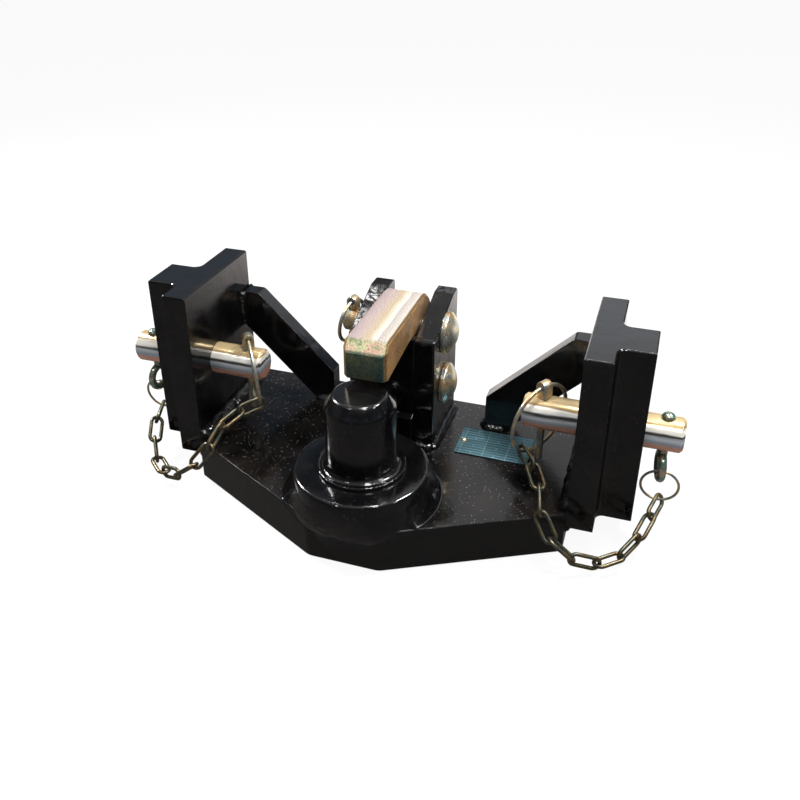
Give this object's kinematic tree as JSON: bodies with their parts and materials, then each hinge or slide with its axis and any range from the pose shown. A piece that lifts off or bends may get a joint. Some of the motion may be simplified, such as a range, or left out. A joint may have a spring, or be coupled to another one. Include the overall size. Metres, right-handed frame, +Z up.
{
  "type": "piton trailer coupling",
  "caption": "Slide-in tractor hitch: piton post under a hinged hold-down, on a plate between two T-section rails with chained side pins.",
  "frame": {"origin": "on the base plate's underside, under the piton's axis", "axes": "+X to the right along the plate from rail to rail, +Y away from the trailer towards the tractor, +Z up along the piton"},
  "size_m": [0.382, 0.1683, 0.1375],
  "materials": {
    "black_paint": "satin black paint",
    "yellow_zinc": "yellow passivated zinc plating",
    "tag_aluminium": "satin bare plate",
    "rivet_steel": "bare steel"
  },
  "bodies": {
    "frame": {"base_plate": "black_paint", "cheek_spacer": "black_paint", "flange_weld": "black_paint", "left_brace": "black_paint", "left_brace_weld": "black_paint", "left_cheek": "black_paint", "left_cheek_weld": "black_paint", "left_rail": "black_paint", "left_rail_weld": "black_paint", "nose_weld": "black_paint", "piton": "black_paint", "piton_flange": "black_paint", "piton_weld": "black_paint", "pivot_pin": "yellow_zinc", "pivot_split_pin": "yellow_zinc", "right_brace": "black_paint", "right_brace_weld": "black_paint", "right_cheek": "black_paint", "right_cheek_weld": "black_paint", "right_rail": "black_paint", "right_rail_weld": "black_paint", "spacer_weld": "black_paint", "spigot_weld": "black_paint", "type_plate": "tag_aluminium", "type_plate_rivets": "rivet_steel"},
    "hold_down": {"hold_down": "yellow_zinc"},
    "lock_pin": {"lock_pin": "yellow_zinc"},
    "lock_linch": {"lock_linch_pin": "yellow_zinc"},
    "lock_ring": {"lock_linch_ring": "yellow_zinc"},
    "right_pin_set": {"right_side_pin": "yellow_zinc", "right_linch_pin": "yellow_zinc", "right_linch_ring": "yellow_zinc", "right_pin_eye": "yellow_zinc", "right_split_ring": "yellow_zinc", "right_chain": "yellow_zinc"},
    "left_pin_set": {"left_side_pin": "yellow_zinc", "left_linch_pin": "yellow_zinc", "left_linch_ring": "yellow_zinc", "left_pin_eye": "yellow_zinc", "left_split_ring": "yellow_zinc", "left_chain": "yellow_zinc"}
  },
  "joints": [
    {"name": "hold_down_swing", "type": "hinge", "parent": "frame", "child": "hold_down", "pos_m": [0, 0.084, 0.069], "axis": [-1, 0, 0], "range_deg": [0, 110]},
    {"name": "lock_pin_slide", "type": "slide", "parent": "frame", "child": "lock_pin", "axis": [1, 0, 0], "range_m": [0, 0.001]},
    {"name": "lock_linch_lift", "type": "slide", "parent": "lock_pin", "child": "lock_linch", "axis": [0, 0, 1], "range_m": [0, 0.006]},
    {"name": "lock_ring_swing", "type": "hinge", "parent": "lock_linch", "child": "lock_ring", "pos_m": [-0.03525, 0.084, 0.12105], "axis": [0.2079, 0.9781, 0], "range_deg": [0, 120]},
    {"name": "right_side_pin_slide", "type": "slide", "parent": "frame", "child": "right_pin_set", "axis": [1, 0, 0], "range_m": [0, 0.01]},
    {"name": "left_side_pin_slide", "type": "slide", "parent": "frame", "child": "left_pin_set", "axis": [-1, 0, 0], "range_m": [0, 0.01]}
  ]
}
